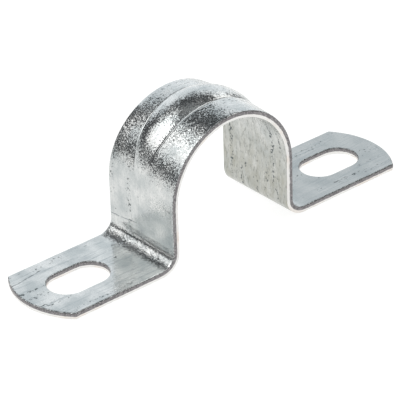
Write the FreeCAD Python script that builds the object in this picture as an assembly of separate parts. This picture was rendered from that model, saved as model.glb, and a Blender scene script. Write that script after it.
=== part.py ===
"""Two-hole conduit strap, blanked and folded from one strip of galvanised sheet steel.

Frame: millimetres, +X runs along the strap from foot to foot, +Y along the conduit and
+Z away from the wall.  The origin lies on the wall, midway between the two slots.
"""
import os

import FreeCAD
import Part
from FreeCAD import Vector
from math import cos, degrees, radians, sin, sqrt

# ---- driving dimensions (mm) ----
conduit_diameter = 25.0      # outside diameter of the conduit that the strap holds
arch_clearance = 0.2         # how much larger the arch radius is than the conduit's
crown_nip = 0.1              # how much lower than the conduit's top the crown sits
fold_offset = 1.2            # how far the folds lie to -X of the middle of the blank
sheet = 1.3                  # thickness of the strip
strap_width = 17.6           # width of the strip
heel_radius = 3.2            # fold between leg and foot, on its hollow side
foot_to_foot = 82.0          # overall length over the rounded foot ends
foot_end_radius = 13.8       # arc that crops each foot
slot_pitch = 59.4            # between the middles of the two slots
slot_width = 7.5             # clears an M6 or M7 screw
slot_length = 12.2           # overall length of a slot
bead_rise = 1.3              # how far the bead stands out at the crown
bead_half_width = 3.8        # from the middle of the bead to its crease, at the crown
bead_end_angle = 8.0         # degrees above the springing where the bead has run out
roll_over = 0.2              # soft arris that the shears leave round the outer skin

# ---- sizes that follow ----
arch_radius = conduit_diameter / 2 + arch_clearance
arch_outer_radius = arch_radius + sheet
heel_outer_radius = heel_radius + sheet
arch_centre_x = -fold_offset
arch_centre_z = conduit_diameter - crown_nip - arch_radius
heel_offset = arch_outer_radius + heel_radius        # from the arch's middle to a heel's
heel_z = heel_outer_radius
foot_end_x = foot_to_foot / 2
bead_top_z = arch_centre_z + arch_outer_radius + bead_rise
margin = sheet                                       # how far a cutting tool runs past
same_size = 0.01                                     # sizes nearer than this count as equal

X_AXIS = Vector(1, 0, 0)
Y_AXIS = Vector(0, 1, 0)
Z_AXIS = Vector(0, 0, 1)
ELEVATION = (X_AXIS, Z_AXIS)
PLAN = (X_AXIS, Y_AXIS)


def arc(centre, radius, start, end, plane):
    """Arc in a plane that is given by its two axes, between two angles in degrees."""
    across, up = plane

    def point(angle):
        turn = radians(angle)
        return centre + across * (radius * cos(turn)) + up * (radius * sin(turn))

    return Part.Arc(point(start), point((start + end) / 2), point(end)).toShape()


def chain(points):
    """Straight edges from each point to the next."""
    return [Part.makeLine(a, b) for a, b in zip(points, points[1:])]


def face_of(edges):
    """Flat face inside a closed ring of edges."""
    return Part.Face(Part.Wire(Part.__sortEdges__(edges)))


def folded_strip():
    """The folded side view, drawn out a little wider than the strap."""
    springing = Vector(arch_centre_x, 0, arch_centre_z)

    def skin(leg_offset, bend_radius, foot_z):
        """One face of the sheet: foot, heel, leg, arch, leg, heel, foot."""
        edges = [arc(springing, leg_offset, 0, 180, ELEVATION)]
        for side, start in ((1, 180), (-1, 0)):
            leg_x = arch_centre_x + side * leg_offset
            heel = Vector(arch_centre_x + side * heel_offset, 0, heel_z)
            edges += chain([Vector(leg_x, 0, arch_centre_z), Vector(leg_x, 0, heel_z)])
            edges.append(arc(heel, bend_radius, start, start + side * 90, ELEVATION))
            edges += chain([Vector(heel.x, 0, foot_z), Vector(side * foot_end_x, 0, foot_z)])
        return edges

    edges = skin(arch_outer_radius, heel_radius, sheet)
    edges += skin(arch_radius, heel_outer_radius, 0)
    for x in (-foot_end_x, foot_end_x):
        edges += chain([Vector(x, 0, 0), Vector(x, 0, sheet)])
    profile = face_of(edges)
    width = strap_width + 2 * margin
    profile.translate(Y_AXIS * (-width / 2))
    return profile.extrude(Y_AXIS * width)


def blank_outline():
    """Upright prism over the plan of the strap: straight sides and rounded ends."""
    half_width = strap_width / 2
    reach = sqrt(foot_end_radius ** 2 - half_width ** 2)
    end_angle = degrees(Vector(reach, half_width, 0).getAngle(X_AXIS))
    end_centre_x = foot_end_x - foot_end_radius
    corner_x = end_centre_x + reach
    edges = [
        arc(Vector(end_centre_x, 0, 0), foot_end_radius, -end_angle, end_angle, PLAN),
        arc(Vector(-end_centre_x, 0, 0), foot_end_radius, 180 - end_angle, 180 + end_angle, PLAN),
    ]
    for y in (-half_width, half_width):
        edges += chain([Vector(-corner_x, y, 0), Vector(corner_x, y, 0)])
    return face_of(edges).extrude(Z_AXIS * bead_top_z)


def slot_punch(slot_x):
    """Round-ended punch that stands through a foot."""
    radius = slot_width / 2
    half_straight = slot_length / 2 - radius
    edges = []
    for side, start in ((1, -90), (-1, 90)):
        centre = Vector(slot_x + side * half_straight, 0, -margin)
        edges.append(arc(centre, radius, start, start + 180, PLAN))
        start_point = Vector(slot_x - half_straight, side * radius, -margin)
        edges += chain([start_point, start_point + X_AXIS * (2 * half_straight)])
    return face_of(edges).extrude(Z_AXIS * (sheet + 2 * margin))


def on_outer_skin(point):
    """True where a point lies on the face of the sheet that is seen when it is fixed."""
    across = abs(point.x - arch_centre_x)
    if across > heel_offset:
        depth = point.z - sheet
    elif point.z < heel_z:
        to_heel = sqrt((across - heel_offset) ** 2 + (point.z - heel_z) ** 2)
        depth = to_heel - heel_radius
    elif point.z < arch_centre_z:
        depth = across - arch_outer_radius
    else:
        depth = sqrt(across ** 2 + (point.z - arch_centre_z) ** 2) - arch_outer_radius
    return abs(depth) < same_size


def is_sheared_arris(edge):
    """True for the outer skin's edges, and false for its seams across the strip."""
    halfway = (edge.FirstParameter + edge.LastParameter) / 2
    runs_across = abs(edge.tangentAt(halfway).y) > 1 - same_size
    is_seam = runs_across and abs(edge.valueAt(halfway).y) < same_size
    return on_outer_skin(edge.valueAt(halfway)) and not is_seam


def half_ring(centre_z, ring_radius, crest_radius):
    """Upper half of a ring with a round crest, standing on its own centre's level."""
    section = Vector(arch_centre_x + ring_radius - crest_radius, 0, centre_z)
    crest = arc(section, crest_radius, -90, 90, PLAN)
    chord = chain([section - Y_AXIS * crest_radius, section + Y_AXIS * crest_radius])
    return face_of([crest] + chord).revolve(Vector(arch_centre_x, 0, centre_z), -Y_AXIS, 180)


def press_bead(strap):
    """Press the stiffening bead outwards along the middle of the arch.

    The bead follows a circle set off above the arch's own centre.  It stands highest
    at the crown and narrows to a point where the two circles cross.  The hollow inside
    is the same crest one sheet further in, so the wall stays even.
    """
    end_height = arch_outer_radius * sin(radians(bead_end_angle))
    rise_area = bead_rise * (2 * arch_outer_radius + bead_rise)
    set_off = rise_area / (2 * (arch_outer_radius + bead_rise - end_height))
    ring_radius = arch_outer_radius + bead_rise - set_off
    crest_radius = (bead_half_width ** 2 + bead_rise ** 2) / (2 * bead_rise)
    ring_z = arch_centre_z + set_off

    raised = half_ring(ring_z, ring_radius, crest_radius)
    conduit_room_start = Vector(arch_centre_x, -strap_width / 2, arch_centre_z)
    conduit_room = Part.makeCylinder(arch_radius, strap_width, conduit_room_start, Y_AXIS)
    hollow = half_ring(ring_z, ring_radius - sheet, crest_radius - sheet)
    return strap.fuse(raised.cut(conduit_room)).cut(hollow)


def conduit_strap():
    """The finished strap as one solid."""
    strap = folded_strip().common(blank_outline())
    for slot_x in (-slot_pitch / 2, slot_pitch / 2):
        strap = strap.cut(slot_punch(slot_x))
    arrises = [edge for edge in strap.Edges if is_sheared_arris(edge)]
    strap = strap.makeFillet(roll_over, arrises)
    return press_bead(strap).removeSplitter().Solids[0]


os.makedirs("parts", exist_ok=True)
strap = conduit_strap()
strap.exportStep("parts/strap.step")
print("strap valid:", strap.isValid(), "volume mm3:", round(strap.Volume))
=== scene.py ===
"""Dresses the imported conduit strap: a folded blank with sheared edges, its zinc, and a studio.

The shapes are worked out in millimetres and reach the meshes in metres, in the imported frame:
+X runs along the strap from foot to foot, +Y along the conduit and +Z away from the wall.
"""
from math import asin, cos, pi, radians, sin, sqrt

import bmesh
import bpy
import numpy as np
from mathutils import Matrix, Vector


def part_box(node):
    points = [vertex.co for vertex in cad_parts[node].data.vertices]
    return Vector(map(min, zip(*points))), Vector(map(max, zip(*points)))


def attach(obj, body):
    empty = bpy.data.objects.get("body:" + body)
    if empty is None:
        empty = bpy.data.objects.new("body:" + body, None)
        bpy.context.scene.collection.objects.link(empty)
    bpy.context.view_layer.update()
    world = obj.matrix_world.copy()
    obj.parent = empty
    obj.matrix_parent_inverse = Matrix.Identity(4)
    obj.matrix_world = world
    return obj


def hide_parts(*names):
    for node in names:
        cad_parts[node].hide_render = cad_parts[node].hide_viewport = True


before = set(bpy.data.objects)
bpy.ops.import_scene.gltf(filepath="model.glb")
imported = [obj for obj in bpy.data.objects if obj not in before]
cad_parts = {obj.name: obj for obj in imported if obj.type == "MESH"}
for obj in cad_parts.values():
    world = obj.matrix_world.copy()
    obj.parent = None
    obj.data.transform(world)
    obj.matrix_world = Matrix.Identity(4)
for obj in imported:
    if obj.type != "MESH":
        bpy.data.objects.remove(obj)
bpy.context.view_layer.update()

MM = 0.001
low, high = (Vector(corner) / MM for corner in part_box("strap"))

# ---- the strap's sizes (mm) ----
sheet = 1.3                  # thickness of the strip
arch_radius = 12.7           # hollow side of the arch
heel_radius = 3.2            # hollow side of the fold between leg and foot
fold_offset = 1.2            # how far the folds lie to -X of the middle of the blank
arch_centre_z = 12.2         # springing line of the arch above the wall
foot_end_radius = 13.8       # arc that crops each foot
slot_pitch = 59.4            # between the middles of the two slots
slot_width = 7.5
slot_length = 12.2
bead_rise = high.z - arch_centre_z - arch_radius - sheet
bead_half_width = 4.35       # from the middle of the bead to its crease, on an unswollen arch
bead_end_angle = 7.0         # degrees above the springing where the bead has run out
crease_softness = 0.12       # how far the crease beside the bead is blended
strap_width = high.y - low.y
foot_end = {-1: -low.x, 1: high.x}

# ---- what the press left a little out of true (mm) ----
bead_stray = 0.45            # how far the bead lies to +Y of the middle
flange_swell = 0.45          # how far the flanges rise towards the bead, at the crown
edge_draw_in = 0.45          # how far the +Y edge is pulled in, at the crown
edge_sag = 0.2               # how far the +Y edge sinks, at the crown
heel_tuck = 0.24             # how far the heel is driven into its corner
crop_stray = {-1: 0.7, 1: 0.0}   # how far each foot's crop arc lies to +Y of the middle

# ---- lengths along the middle of the sheet, from the crown outwards (mm) ----
arch_run = (arch_radius + sheet / 2) * radians(90)
leg_run = arch_centre_z - heel_radius - sheet
heel_run = (heel_radius + sheet / 2) * radians(90)
bent_run = arch_run + leg_run + heel_run
heel_reach = arch_radius + sheet + heel_radius       # from the arch's middle to a foot's flat
join_run = bent_run + 1.0                            # where the bent strip hands over to a foot
flat_shift = {side: bent_run - heel_reach + side * fold_offset for side in (-1, 1)}

# ---- section of a sheared edge: (distance in from the edge, depth below the outer skin) ----
sheared_section = [
    (0.30, 0.0), (0.19, 0.008), (0.11, 0.03), (0.05, 0.07), (0.015, 0.13), (0.0, 0.21),
    (0.0, 0.45), (0.0, 0.70), (0.05, 0.80), (0.075, 0.98), (0.10, 1.16), (0.09, 1.26), (0.14, sheet),
    (0.30, sheet),
]
skin_inset = sheared_section[0][0]
roll_depth = 0.09            # below this depth of the outer skin a wall is bare sheared steel
burr_height = 0.01           # and above this height over the wall side

# ---- how finely the blank is divided (mm, or stations) ----
bead_pitch = 0.15
bead_margin = 0.55           # fine rows beyond the crease
flange_pitch = 0.45
bend_pitch = 0.3
side_stations = 68           # along each straight side of a foot
crop_stations = 66           # round a foot's cropped end
foot_rings = 15              # from a slot out to the foot's edge
weld_distance = 0.002


def add(tree, kind, inputs=(), **settings):
    """Adds one node: its settings by name, then a link or a value for each input."""
    made = tree.nodes.new(kind)
    for name, value in settings.items():
        setattr(made, name, value)
    for name, value in dict(inputs).items():
        if isinstance(value, bpy.types.NodeSocket):
            tree.links.new(value, made.inputs[name])
        else:
            made.inputs[name].default_value = value
    return made


def linear(colour):
    """Linear RGBA from an sRGB hex colour."""
    parts = [int(colour[i:i + 2], 16) / 255 for i in (1, 3, 5)]
    return [c / 12.92 if c <= 0.04045 else ((c + 0.055) / 1.055) ** 2.4 for c in parts] + [1.0]


def steps(start, stop, pitch):
    """Evenly spaced stations, both ends included, about one pitch apart."""
    return np.linspace(start, stop, max(1, round(abs(stop - start) / pitch)) + 1)


# ---- the flat blank, before folding ----
def foot_rim(side, inset):
    """Line just inside a foot's edge, from the near side, round the cropped end, to the far side."""
    half = strap_width / 2 - inset
    radius = foot_end_radius - inset
    centre = foot_end[side] + flat_shift[side] - foot_end_radius
    stray = crop_stray[side]
    near, far = asin((half + stray) / radius), asin((half - stray) / radius)
    turns = np.linspace(-near, far, crop_stations)[1:-1]
    points = [(x, -half) for x in np.linspace(join_run, centre + radius * cos(near), side_stations)]
    points += [(centre + radius * cos(turn), stray + radius * sin(turn)) for turn in turns]
    points += [(x, half) for x in np.linspace(centre + radius * cos(far), join_run, side_stations)]
    return np.array(points) * (side, 1)


def slot_rim(side, inset, directions):
    """Line just outside a slot's edge, met by a ray from the slot's middle in each direction."""
    radius = slot_width / 2 + inset
    reach = (slot_length - slot_width) / 2
    points = []
    for x, y in directions:
        along = radius * abs(x) / max(abs(y), 1e-9)
        ray = radius / abs(y) if along <= reach else (
            reach * abs(x) + sqrt(radius ** 2 - (reach * y) ** 2))
        points.append((ray * x, ray * y))
    middle = side * (slot_pitch / 2 + flat_shift[side])
    return np.array(points) + (middle, 0)


def lay_faces(shape, lines, closed):
    """Four-sided faces between neighbouring lines of points (mm)."""
    verts = [[shape.verts.new(Vector(point) * MM) for point in line] for line in lines]
    for first, second in zip(verts, verts[1:]):
        count = len(first)
        for i in range(count if closed else count - 1):
            j = (i + 1) % count
            shape.faces.new((first[i], first[j], second[j], second[i]))


def at_depth(line, depth):
    """Points of a flat line, at a depth below the outer skin."""
    return [(x, y, sheet / 2 - depth) for x, y in line]


half_skin = strap_width / 2 - skin_inset
bead_rows = steps(0, bead_half_width + bead_margin, bead_pitch)
flange_rows = steps(bead_rows[-1], half_skin, flange_pitch)[1:]
half_rows = np.concatenate((bead_rows, flange_rows))
rows = np.concatenate((-half_rows[:0:-1], half_rows))
bends = [0, arch_run, arch_run + leg_run, bent_run, join_run]
stretches = [steps(start, stop, bend_pitch)[:-1] for start, stop in zip(bends, bends[1:])]
half_columns = np.concatenate(stretches + [[join_run]])
columns = np.concatenate((-half_columns[:0:-1], half_columns))

blank = bmesh.new()
for depth in (0, sheet):
    lay_faces(blank, [at_depth([(x, y) for y in rows], depth) for x in columns], False)
for edge in (-1, 1):
    lay_faces(blank, [at_depth([(x, edge * (strap_width / 2 - inset)) for x in columns], depth)
                      for inset, depth in sheared_section], False)
for side in (-1, 1):
    lay_faces(blank, [at_depth(foot_rim(side, inset), depth)
                      for inset, depth in sheared_section], False)
    join_line = [(side * join_run, y) for y in rows[::-1][1:-1]]
    rim = np.concatenate((foot_rim(side, skin_inset), join_line))
    middle = side * (slot_pitch / 2 + flat_shift[side])
    rays = [(Vector(point) - Vector((middle, 0))).normalized() for point in rim]
    slot = slot_rim(side, skin_inset, rays)
    for depth in (0, sheet):
        lay_faces(blank, [at_depth(slot + (rim - slot) * share, depth)
                          for share in np.linspace(0, 1, foot_rings)], True)
    lay_faces(blank, [at_depth(slot_rim(side, inset, rays), depth)
                      for inset, depth in sheared_section], True)
bmesh.ops.remove_doubles(blank, verts=blank.verts, dist=weld_distance * MM)
bmesh.ops.recalc_face_normals(blank, faces=blank.faces)
open_edges = sum(not edge.is_manifold for edge in blank.edges)
if open_edges:
    raise ValueError(f"the blank has {open_edges} open edges")
blank_mesh = bpy.data.meshes.new("strap_blank")
blank.to_mesh(blank_mesh)
blank.free()
place = np.empty(len(blank_mesh.vertices) * 3, np.float32)
blank_mesh.vertices.foreach_get("co", place)
blank_mesh.attributes.new("blank", "FLOAT_VECTOR", "POINT").data.foreach_set("vector", place / MM)

# ---- materials ----
def new_material(name):
    """Empty material with its surface shader."""
    material = bpy.data.materials.new(name)
    material.use_nodes = True
    return material, material.node_tree, material.node_tree.nodes["Principled BSDF"]


# Galvanised strip steel, rolled smooth after its zinc bath: a soft grey mirror, cloudy, with fine
# streaks along the strip, dark specks where the zinc is pinched, and a sandy grain where the fold
# has stretched it.
zinc, tree, surface = new_material("galvanised_strip_rolled")
spot = add(tree, "ShaderNodeAttribute", attribute_name="blank").outputs["Vector"]
bend = add(tree, "ShaderNodeAttribute", attribute_name="bend").outputs["Fac"]
parts = add(tree, "ShaderNodeSeparateXYZ", {0: spot})
along, through = parts.outputs[0], parts.outputs[2]
from_crown = add(tree, "ShaderNodeMath", {0: along}, operation="ABSOLUTE").outputs[0]
hollow_side = add(tree, "ShaderNodeMapRange", {0: through, 1: 0.3, 2: -0.3}).outputs[0]

# cloudiness a few millimetres across, and a fine mottle of about 0.4 mm
clouds = add(tree, "ShaderNodeTexNoise",
             {"Vector": spot, "Scale": 0.22, "Detail": 5.0, "Roughness": 0.55}).outputs[0]
clouds = add(tree, "ShaderNodeMapRange", {0: clouds, 1: 0.36, 2: 0.64}).outputs[0]
body = add(tree, "ShaderNodeMix", {0: clouds, 6: linear("#B8BDBD"), 7: linear("#DCDDDB")},
           data_type="RGBA").outputs[2]
mottle = add(tree, "ShaderNodeTexNoise",
             {"Vector": spot, "Scale": 2.6, "Detail": 3.0, "Roughness": 0.7}).outputs[0]
mottle = add(tree, "ShaderNodeMapRange", {0: mottle, 1: 0.45, 2: 0.75, 3: 0.0, 4: 0.35}).outputs[0]
# the +X foot is duller than the rest
dull = add(tree, "ShaderNodeMapRange", {0: along, 1: bent_run - 6, 2: bent_run + 2}).outputs[0]
dull = add(tree, "ShaderNodeMath", {0: dull, 1: 0.6}, operation="MULTIPLY").outputs[0]
# rolling streaks, about 0.4 mm wide and 8 mm long
drawn = add(tree, "ShaderNodeMapping", {0: spot, "Scale": (0.13, 2.4, 1.0)}).outputs[0]
streaks = add(tree, "ShaderNodeTexNoise",
              {"Vector": drawn, "Scale": 1.0, "Detail": 4.0, "Roughness": 0.6}).outputs[0]
streaks = add(tree, "ShaderNodeMapRange", {0: streaks, 1: 0.52, 2: 0.72}).outputs[0]
on_foot = add(tree, "ShaderNodeMapRange",
              {0: from_crown, 1: bent_run - 2, 2: bent_run + 2, 3: 0.25, 4: 0.6}).outputs[0]
streaks = add(tree, "ShaderNodeMath", {0: streaks, 1: on_foot}, operation="MULTIPLY").outputs[0]
# the hollow side is duller and a little green-grey, most on the legs
hollow_tone = add(tree, "ShaderNodeMapping", {0: spot, "Scale": (0.4, 1.0, 1.0)}).outputs[0]
hollow_tone = add(tree, "ShaderNodeTexNoise",
            {"Vector": hollow_tone, "Scale": 0.9, "Detail": 4.0, "Roughness": 0.65}).outputs[0]
hollow_tone = add(tree, "ShaderNodeMapRange", {0: hollow_tone, 1: 0.35, 2: 0.65, 3: 0.45, 4: 1.0}).outputs[0]
low_down = add(tree, "ShaderNodeMapRange",
               {0: from_crown, 1: arch_run - 9, 2: arch_run + 5, 3: 0.15, 4: 1.0}).outputs[0]
hollow_tone = add(tree, "ShaderNodeMath", {0: hollow_tone, 1: low_down}, operation="MULTIPLY").outputs[0]
hollow_tone = add(tree, "ShaderNodeMath", {0: hollow_tone, 1: hollow_side}, operation="MULTIPLY").outputs[0]
# rubbed flecks on the hollow side, about 0.4 mm wide and 1.2 mm long
fleck = add(tree, "ShaderNodeMapping", {0: spot, "Scale": (0.35, 1.0, 1.0)}).outputs[0]
fleck = add(tree, "ShaderNodeTexNoise",
            {"Vector": fleck, "Scale": 2.4, "Detail": 4.0, "Roughness": 0.75}).outputs[0]
fleck = add(tree, "ShaderNodeMapRange", {0: fleck, 1: 0.51, 2: 0.66, 3: 0.0, 4: 0.65}).outputs[0]
fleck = add(tree, "ShaderNodeMath", {0: fleck, 1: hollow_side}, operation="MULTIPLY").outputs[0]
# pinched specks, 0.3 to 0.5 mm, in loose patches
speck = add(tree, "ShaderNodeTexNoise",
            {"Vector": spot, "Scale": 2.1, "Detail": 2.0, "Roughness": 0.6}).outputs[0]
patch = add(tree, "ShaderNodeTexNoise", {"Vector": drawn, "Scale": 0.35, "Detail": 1.0}).outputs[0]
speck = add(tree, "ShaderNodeMath", {0: speck, 1: patch}, operation="ADD").outputs[0]
speck = add(tree, "ShaderNodeMath",
            {0: hollow_side, 1: 0.055, 2: speck}, operation="MULTIPLY_ADD").outputs[0]
speck = add(tree, "ShaderNodeMapRange", {0: speck, 1: 1.24, 2: 1.34}).outputs[0]
# handling scratches on the outer skin: one across the end of the -X foot, one bowed across the -X leg
wander = add(tree, "ShaderNodeTexNoise", {"Vector": spot, "Scale": 0.7, "Detail": 2.0}).outputs["Color"]
wander = add(tree, "ShaderNodeVectorMath", {0: wander, "Scale": 0.5}, operation="SCALE").outputs[0]
wander = add(tree, "ShaderNodeVectorMath", {0: spot, 1: wander}, operation="ADD").outputs[0]
scratched = 0.0
for start, end, width in [
    ((-56.6, 5.3), (-49.5, 6.3), 0.16),
    ((-28.2, 9.0), (-27.9, 6.0), 0.14), ((-27.9, 6.0), (-27.4, 1.3), 0.14),
]:
    # the wander adds a quarter of a millimetre on average
    start, end = (Vector((*point, sheet / 2)) + Vector((0.25, 0.25, 0.25)) for point in (start, end))
    from_start = add(tree, "ShaderNodeVectorMath", {0: wander, 1: start}, operation="SUBTRACT").outputs[0]
    share = add(tree, "ShaderNodeVectorMath",
                {0: from_start, 1: (end - start) / (end - start).length_squared},
                operation="DOT_PRODUCT").outputs["Value"]
    share = add(tree, "ShaderNodeMath", {0: share, 1: 1.0}, operation="MULTIPLY", use_clamp=True).outputs[0]
    nearest = add(tree, "ShaderNodeVectorMath",
                  {0: end - start, "Scale": share}, operation="SCALE").outputs[0]
    away = add(tree, "ShaderNodeVectorMath",
               {0: from_start, 1: nearest}, operation="DISTANCE").outputs["Value"]
    line = add(tree, "ShaderNodeMapRange", {0: away, 1: width, 2: 0.0}).outputs[0]
    scratched = add(tree, "ShaderNodeMath", {0: line, 1: scratched}, operation="MAXIMUM").outputs[0]
# each mark lies over the ones before it
for mark, colour in [
    (mottle, "#A3A9AA"), (dull, "#989D9D"), (streaks, "#8E979B"), (hollow_tone, "#B0B0A7"),
    (fleck, "#7F827C"), (speck, "#4E5557"), (scratched, "#6E767B"),
]:
    body = add(tree, "ShaderNodeMix", {0: mark, 6: body, 7: linear(colour)}, data_type="RGBA").outputs[2]
tree.links.new(body, surface.inputs["Base Color"])
surface.inputs["Metallic"].default_value = 1.0
# rolled-over arrises are scuffed like the bends
off_middle = add(tree, "ShaderNodeMath", {0: through}, operation="ABSOLUTE").outputs[0]
arris = add(tree, "ShaderNodeMapRange", {0: off_middle, 1: sheet / 2, 2: sheet / 2 - 0.04}).outputs[0]
worn = add(tree, "ShaderNodeMath", {0: bend, 1: arris}, operation="MAXIMUM").outputs[0]
rough = add(tree, "ShaderNodeMapRange", {0: worn, 3: 0.16, 4: 0.20}).outputs[0]
tree.links.new(rough, surface.inputs["Roughness"])
# slow waves left by the press, about a hundredth of a millimetre high
relief = add(tree, "ShaderNodeTexNoise", {"Vector": spot, "Scale": 0.3, "Detail": 1.0}).outputs[0]
relief = add(tree, "ShaderNodeMath", {0: relief, 1: 0.012}, operation="MULTIPLY").outputs[0]
# the die bites a groove into the crease on both sides of the bead, 0.05 mm deep and 0.2 mm wide
clear = add(tree, "ShaderNodeAttribute", attribute_name="clear").outputs["Fac"]
bite = add(tree, "ShaderNodeMath", {0: clear, 1: 0.055}, operation="DIVIDE").outputs[0]
bite = add(tree, "ShaderNodeMath", {0: bite, 1: 2.0}, operation="POWER").outputs[0]
bite = add(tree, "ShaderNodeMath", {0: bite, 1: -1.0}, operation="MULTIPLY").outputs[0]
bite = add(tree, "ShaderNodeMath", {0: bite}, operation="EXPONENT").outputs[0]
relief = add(tree, "ShaderNodeMath", {0: bite, 1: -0.05, 2: relief}, operation="MULTIPLY_ADD").outputs[0]
relief = add(tree, "ShaderNodeMath",
             {0: scratched, 1: -0.02, 2: relief}, operation="MULTIPLY_ADD").outputs[0]
bump = add(tree, "ShaderNodeBump", {"Height": relief, "Distance": MM, "Strength": 1.0}).outputs[0]
# sandy grain: each zinc crystal, about 0.15 mm, leans its own way, most where the sheet was bent
crystal = add(tree, "ShaderNodeTexVoronoi", {"Vector": spot, "Scale": 6.5}).outputs["Color"]
lean = add(tree, "ShaderNodeVectorMath", {0: crystal, 1: (0.5, 0.5, 0.5)}, operation="SUBTRACT").outputs[0]
lean_most = add(tree, "ShaderNodeMapRange", {0: bend, 3: 0.05, 4: 0.23}).outputs[0]
lean_most = add(tree, "ShaderNodeMath", {0: lean_most, 1: arris}, operation="MAXIMUM").outputs[0]
unbitten = add(tree, "ShaderNodeMath", {0: 1.0, 1: bite}, operation="SUBTRACT").outputs[0]
lean_most = add(tree, "ShaderNodeMath", {0: lean_most, 1: unbitten}, operation="MULTIPLY").outputs[0]
lean = add(tree, "ShaderNodeVectorMath", {0: lean, "Scale": lean_most}, operation="SCALE").outputs[0]
normal = add(tree, "ShaderNodeVectorMath", {0: bump, 1: lean}, operation="ADD").outputs[0]
normal = add(tree, "ShaderNodeVectorMath", {0: normal}, operation="NORMALIZE").outputs[0]
tree.links.new(normal, surface.inputs["Normal"])

# Cut edge of the same strip: the blade leaves a dark smooth band below the rolled-over arris, then
# the sheet breaks and leaves a pale torn band with a little bare steel colour in it.
shear, tree, surface = new_material("sheared_steel_edge")
spot = add(tree, "ShaderNodeAttribute", attribute_name="blank").outputs["Vector"]
through = add(tree, "ShaderNodeSeparateXYZ", {0: spot}).outputs[2]
ragged = add(tree, "ShaderNodeMapping", {0: spot, "Scale": (1.0, 1.0, 0.25)}).outputs[0]
ragged = add(tree, "ShaderNodeTexNoise",
             {"Vector": ragged, "Scale": 1.3, "Detail": 4.0, "Roughness": 0.7}).outputs[0]
break_line = add(tree, "ShaderNodeMath",
                 {0: ragged, 1: 0.35, 2: through}, operation="MULTIPLY_ADD").outputs[0]
torn = add(tree, "ShaderNodeMapRange", {0: break_line, 1: 0.13, 2: 0.03}).outputs[0]
grit = add(tree, "ShaderNodeTexNoise",
           {"Vector": spot, "Scale": 4.5, "Detail": 2.0, "Roughness": 0.7}).outputs[0]
grit = add(tree, "ShaderNodeMapRange", {0: grit, 1: 0.35, 2: 0.65}).outputs[0]
slid = add(tree, "ShaderNodeMix",
           {0: grit, 6: linear("#5F5D5F"), 7: linear("#A19E9F")}, data_type="RGBA").outputs[2]
tinge = add(tree, "ShaderNodeTexNoise", {"Vector": spot, "Scale": 0.18, "Detail": 2.0}).outputs[0]
tinge = add(tree, "ShaderNodeMapRange", {0: tinge, 1: 0.5, 2: 0.7}).outputs[0]
broken = add(tree, "ShaderNodeMix",
             {0: tinge, 6: linear("#F4F3F1"), 7: linear("#EFE6DE")}, data_type="RGBA").outputs[2]
body = add(tree, "ShaderNodeMix", {0: torn, 6: slid, 7: broken}, data_type="RGBA").outputs[2]
tree.links.new(body, surface.inputs["Base Color"])
surface.inputs["Metallic"].default_value = 1.0
rough = add(tree, "ShaderNodeMapRange", {0: torn, 3: 0.35, 4: 0.6}).outputs[0]
tree.links.new(rough, surface.inputs["Roughness"])
# blade marks and torn grain, 0.03 mm deep and 0.25 mm across
relief = add(tree, "ShaderNodeTexNoise", {"Vector": spot, "Scale": 4.0, "Detail": 3.0}).outputs[0]
bump = add(tree, "ShaderNodeBump", {"Height": relief, "Distance": 0.03 * MM, "Strength": 1.0}).outputs[0]
tree.links.new(bump, surface.inputs["Normal"])

# ---- folding the blank ----
fold = bpy.data.node_groups.new("fold_and_bead", "GeometryNodeTree")
fold.interface.new_socket("Blank", in_out="INPUT", socket_type="NodeSocketGeometry")
fold_sizes = {
    "arch radius": arch_radius, "heel radius": heel_radius, "sheet": sheet,
    "fold offset": fold_offset, "arch centre height": arch_centre_z, "bead rise": bead_rise,
    "bead half width": bead_half_width, "bead end angle": radians(bead_end_angle),
    "crease softness": crease_softness, "strap width": strap_width,
    "bead stray": bead_stray, "flange swell": flange_swell, "edge draw-in": edge_draw_in,
    "edge sag": edge_sag, "heel tuck": heel_tuck,
}
size_sockets = {name: fold.interface.new_socket(name, in_out="INPUT", socket_type="NodeSocketFloat")
                for name in fold_sizes}
fold.interface.new_socket("Strap", in_out="OUTPUT", socket_type="NodeSocketGeometry")
given = fold.nodes.new("NodeGroupInput")
flat_place = add(fold, "GeometryNodeInputNamedAttribute",
                 {"Name": "blank"}, data_type="FLOAT_VECTOR").outputs[0]
flat = add(fold, "ShaderNodeSeparateXYZ", {0: flat_place})
known = {name: given.outputs[name] for name in fold_sizes}
known.update({"x": flat.outputs[0], "y": flat.outputs[1], "w": flat.outputs[2]})
quarter = radians(90)
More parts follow.
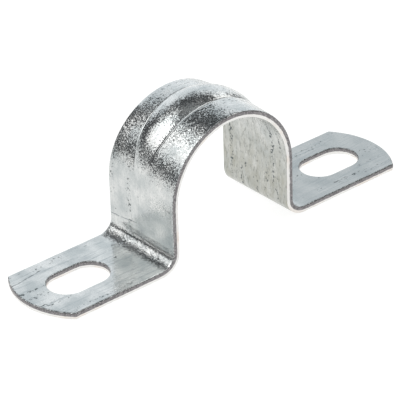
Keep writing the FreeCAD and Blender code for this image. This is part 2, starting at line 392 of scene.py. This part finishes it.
for name, operation, *terms in [
    # the place on the flat blank: x along the strip, y across it, w up through the sheet
    ("side", "SIGN", "x"), ("run", "ABSOLUTE", "x"),
    # turns of the middle of the sheet round the arch and back round the heel
    ("half sheet", "DIVIDE", "sheet", 2.0),
    ("arch mid", "ADD", "arch radius", "half sheet"), ("heel mid", "ADD", "heel radius", "half sheet"),
    ("arch turn", "DIVIDE", "run", "arch mid"), ("arch turn", "MINIMUM", "arch turn", quarter),
    ("arch length", "MULTIPLY", "arch mid", quarter),
    ("past arch", "SUBTRACT", "run", "arch length"), ("past arch", "MAXIMUM", "past arch", 0.0),
    ("leg", "SUBTRACT", "arch centre height", "heel radius"), ("leg", "SUBTRACT", "leg", "sheet"),
    ("down leg", "MINIMUM", "past arch", "leg"),
    ("past leg", "SUBTRACT", "past arch", "leg"), ("past leg", "MAXIMUM", "past leg", 0.0),
    ("heel turn", "DIVIDE", "past leg", "heel mid"), ("heel turn", "MINIMUM", "heel turn", quarter),
    ("heel length", "MULTIPLY", "heel mid", quarter),
    ("along foot", "SUBTRACT", "past leg", "heel length"), ("along foot", "MAXIMUM", "along foot", 0.0),
    # how much a place was bent: fully in the arch and the middle of the heel, not in leg or foot
    ("unbent", "DIVIDE", "past arch", 2.0), ("unbent", "MINIMUM", "unbent", 1.0),
    ("arch bend", "SUBTRACT", 1.0, "unbent"),
    ("heel place", "MULTIPLY", "heel turn", 2.0), ("heel bend", "SINE", "heel place"),
    ("bend", "MAXIMUM", "arch bend", "heel bend"),
    # middle of the sheet in the folded side view
    ("arch sin", "SINE", "arch turn"), ("arch cos", "COSINE", "arch turn"),
    ("heel sin", "SINE", "heel turn"), ("heel cos", "COSINE", "heel turn"),
    ("mid out", "MULTIPLY", "arch sin", "arch mid"), ("heel out", "SUBTRACT", 1.0, "heel cos"),
    ("heel out", "MULTIPLY", "heel out", "heel mid"), ("mid out", "ADD", "mid out", "heel out"),
    ("mid out", "ADD", "mid out", "along foot"),
    ("mid up", "MULTIPLY", "arch cos", "arch mid"), ("mid up", "SUBTRACT", "mid up", "down leg"),
    ("heel down", "MULTIPLY", "heel sin", "heel mid"), ("mid up", "SUBTRACT", "mid up", "heel down"),
    # direction through the sheet
    ("lean", "SUBTRACT", "arch turn", "heel turn"), ("lean sin", "SINE", "lean"), ("lean cos", "COSINE", "lean"),
    # bead: a ring of round section, set off above the arch so that it sinks into it at both ends
    ("outer radius", "ADD", "arch radius", "sheet"), ("crown radius", "ADD", "outer radius", "bead rise"),
    ("end sin", "SINE", "bead end angle"), ("end drop", "MULTIPLY", "outer radius", "end sin"),
    ("set off top", "ADD", "outer radius", "crown radius"), ("set off top", "MULTIPLY", "set off top", "bead rise"),
    ("set off top", "DIVIDE", "set off top", 2.0), ("set off foot", "SUBTRACT", "crown radius", "end drop"),
    ("set off", "DIVIDE", "set off top", "set off foot"), ("ring", "SUBTRACT", "crown radius", "set off"),
    ("width sq", "POWER", "bead half width", 2.0), ("rise sq", "POWER", "bead rise", 2.0),
    ("crest", "ADD", "width sq", "rise sq"), ("crest", "DIVIDE", "crest", "bead rise"),
    ("crest", "DIVIDE", "crest", 2.0),
    ("ring core", "SUBTRACT", "ring", "crest"),
    ("crest here", "SUBTRACT", "crest", "half sheet"), ("crest here", "ADD", "crest here", "w"),
    ("crest sq", "POWER", "crest here", 2.0), ("off crest", "SUBTRACT", "y", "bead stray"),
    ("off crest", "POWER", "off crest", 2.0), ("bow", "SUBTRACT", "crest sq", "off crest"),
    ("bow", "MAXIMUM", "bow", 0.0), ("bow", "SQRT", "bow"), ("ring here", "ADD", "ring core", "bow"),
    ("ring here", "POWER", "ring here", 2.0), ("across", "MULTIPLY", "set off", "arch sin"),
    ("across", "POWER", "across", 2.0), ("reach", "SUBTRACT", "ring here", "across"),
    ("reach", "SQRT", "reach"),
    ("lifted", "MULTIPLY", "set off", "arch cos"), ("reach", "ADD", "reach", "lifted"),
    # flanges that swell towards the bead, and the bead's rise above them
    ("half width", "DIVIDE", "strap width", 2.0), ("share", "DIVIDE", "y", "half width"),
    ("share sq", "POWER", "share", 2.0), ("swell", "SUBTRACT", 1.0, "share sq"),
    ("swell", "MULTIPLY", "swell", "flange swell"), ("swell", "MULTIPLY", "swell", "arch cos"),
    ("base", "ADD", "arch mid", "w"), ("base", "ADD", "base", "swell"),
    ("clear", "SUBTRACT", "reach", "base"),
    ("rise here", "SMOOTH_MAX", "clear", 0.0, "crease softness"), ("through", "ADD", "rise here", "w"),
    ("through", "ADD", "through", "swell"),
    # the +Y edge sinks and is drawn in, most at the crown
    ("crown share", "POWER", "arch cos", 2.0), ("pull", "MAXIMUM", "share", 0.0),
    ("pull", "POWER", "pull", 2.0),
    ("sag", "POWER", "pull", 2.0), ("sag", "MULTIPLY", "sag", "crown share"),
    ("sag", "MULTIPLY", "sag", "edge sag"), ("through", "SUBTRACT", "through", "sag"),
    # the heel is driven into its corner, most a little nearer the leg
    ("tuck", "DIVIDE", "heel turn", quarter), ("tuck", "POWER", "tuck", 0.75),
    ("tuck", "MULTIPLY", "tuck", radians(180)), ("tuck", "SINE", "tuck"), ("tuck", "POWER", "tuck", 2.0),
    ("tuck", "MULTIPLY", "tuck", "heel tuck"), ("through", "SUBTRACT", "through", "tuck"),
    ("pull", "MULTIPLY", "pull", "crown share"), ("pull", "MULTIPLY", "pull", "edge draw-in"),
    ("across strap", "SUBTRACT", "y", "pull"), ("across strap", "MULTIPLY", "across strap", MM),
    # the folded place
    ("out", "MULTIPLY", "lean sin", "through"), ("out", "ADD", "out", "mid out"),
    ("out", "MULTIPLY", "out", "side"),
    ("out", "SUBTRACT", "out", "fold offset"), ("out", "MULTIPLY", "out", MM),
    ("up", "MULTIPLY", "lean cos", "through"), ("up", "ADD", "up", "mid up"),
    ("up", "ADD", "up", "arch centre height"),
    ("up", "MULTIPLY", "up", MM),
]:
    values = {i: known[term] if isinstance(term, str) else term for i, term in enumerate(terms)}
    known[name] = add(fold, "ShaderNodeMath", values, operation=operation).outputs[0]
folded_place = add(fold, "ShaderNodeCombineXYZ",
                   {0: known["out"], 1: known["across strap"], 2: known["up"]}).outputs[0]
bent = add(fold, "GeometryNodeSetPosition",
           {"Geometry": given.outputs["Blank"], "Position": folded_place}).outputs[0]
# the materials read how much a place was bent, and how far it lies from the crease
for mark in ("bend", "clear"):
    bent = add(fold, "GeometryNodeStoreNamedAttribute",
               {"Geometry": bent, "Name": mark, "Value": known[mark]},
               data_type="FLOAT", domain="POINT").outputs[0]
below_roll = add(fold, "FunctionNodeCompare", {0: known["w"], 1: sheet / 2 - roll_depth},
                 operation="LESS_THAN").outputs[0]
above_burr = add(fold, "FunctionNodeCompare", {0: known["w"], 1: -sheet / 2 + burr_height},
                 operation="GREATER_THAN").outputs[0]
on_wall = add(fold, "FunctionNodeBooleanMath", {0: below_roll, 1: above_burr}, operation="AND").outputs[0]
whole = add(fold, "GeometryNodeRealizeInstances", {0: bent}).outputs[0]
skinned = add(fold, "GeometryNodeSetMaterial", {"Geometry": whole, "Material": zinc}).outputs[0]
edged = add(fold, "GeometryNodeSetMaterial",
            {"Geometry": skinned, "Selection": on_wall, "Material": shear}).outputs[0]
strap_out = fold.nodes.new("NodeGroupOutput")
fold.links.new(edged, strap_out.inputs[0])

flat_blank = bpy.data.objects.new("strap_blank", blank_mesh)
bpy.context.scene.collection.objects.link(flat_blank)
folding = flat_blank.modifiers.new("fold", "NODES")
folding.node_group = fold
for name, value in fold_sizes.items():
    folding[size_sockets[name].identifier] = value
evaluated = flat_blank.evaluated_get(bpy.context.evaluated_depsgraph_get())
strap_mesh = bpy.data.meshes.new_from_object(evaluated)
strap_mesh.name = "strap_folded"
strap_mesh.polygons.foreach_set("use_smooth", [True] * len(strap_mesh.polygons))
strap = bpy.data.objects.new("strap_folded", strap_mesh)
bpy.context.scene.collection.objects.link(strap)
bpy.data.objects.remove(flat_blank)
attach(strap, "root")
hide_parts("strap")

# ---- floor and light ----
floor_mesh = bpy.data.meshes.new("light_table")
half_table, table_drop = 3.0, 5e-5                   # m; a hair below the feet, so nothing flickers
floor_mesh.from_pydata(
    [(x * half_table, y * half_table, -table_drop) for x, y in ((-1, -1), (1, -1), (1, 1), (-1, 1))],
    [], [(0, 1, 2, 3)])
floor = bpy.data.objects.new("light_table", floor_mesh)
bpy.context.scene.collection.objects.link(floor)
acrylic = bpy.data.materials.new("white_acrylic_lit_from_below")
acrylic.use_nodes = True
panel = acrylic.node_tree.nodes["Principled BSDF"]
panel.inputs["Base Color"].default_value = linear("#9A9A98")
panel.inputs["Roughness"].default_value = 0.8
panel.inputs["Specular IOR Level"].default_value = 0.0
panel.inputs["Emission Color"].default_value = linear("#FFFFFF")
panel.inputs["Emission Strength"].default_value = 0.88
floor_mesh.materials.append(acrylic)

world = bpy.data.worlds.new("studio_room")
world.use_nodes = True
room = world.node_tree.nodes["Background"]
room.inputs["Color"].default_value = linear("#48494B")
room.inputs["Strength"].default_value = 1.0
bpy.context.scene.world = world

# lamps: direction (degrees), distance and size (m), radiance, colour
for name, azimuth, elevation, distance, width, height, radiance, colour in [
    ("softbox_left", 238, 45, 0.60, 0.52, 0.56, 1.4, "#FFFFFF"),
    ("softbox_core", 243, 52, 0.59, 0.20, 0.20, 2.3, "#FFFFFF"),
    ("panel_back", 147, 16, 0.80, 0.98, 0.80, 1.05, "#F6FBFF"),
    ("strip_right", 100, 31, 0.80, 0.30, 0.34, 1.6, "#FFFFFF"),
    ("ceiling", 120, 82, 0.90, 0.50, 0.40, 0.3, "#FFFFFF"),
    ("fill_front", 0, 14, 0.90, 1.20, 0.50, 0.5, "#FFFFFF"),
    ("overhead_front", 10, 63, 0.80, 0.90, 0.42, 1.5, "#FFFFFF"),
]:
    a, e = radians(azimuth), radians(elevation)
    toward = Vector((sin(a) * cos(e), -cos(a) * cos(e), sin(e)))
    lamp = bpy.data.lights.new(name, "AREA")
    lamp.shape = "RECTANGLE"
    lamp.size, lamp.size_y = width, height
    lamp.color = linear(colour)[:3]
    lamp.energy = radiance * width * height * pi
    lamp_object = bpy.data.objects.new(name, lamp)
    lamp_object.rotation_mode = "QUATERNION"
    lamp_object.rotation_quaternion = toward.to_track_quat("Z", "Y")
    lamp_object.location = toward * distance
    bpy.context.scene.collection.objects.link(lamp_object)

# ---- camera ----
a, e = radians(-39.66), radians(30.21)
toward = Vector((sin(a) * cos(e), -cos(a) * cos(e), sin(e)))
aim = Vector((-3.61, -2.35, 7.45)) * MM
camera = bpy.data.cameras.new("camera")
camera.sensor_width = 36
camera.lens = 238.27
camera.clip_start, camera.clip_end = 0.01, 20
camera_object = bpy.data.objects.new("camera", camera)
camera_object.rotation_mode = "QUATERNION"
camera_object.rotation_quaternion = (
    toward.to_track_quat("Z", "Y") @ Matrix.Rotation(radians(-1.853), 4, "Z").to_quaternion())
camera_object.location = aim + toward * 469.6 * MM
bpy.context.scene.collection.objects.link(camera_object)
bpy.context.scene.camera = camera_object
bpy.context.scene.view_settings.view_transform = "Standard"

print("triangles", sum(len(p.vertices) - 2 for p in strap_mesh.polygons))
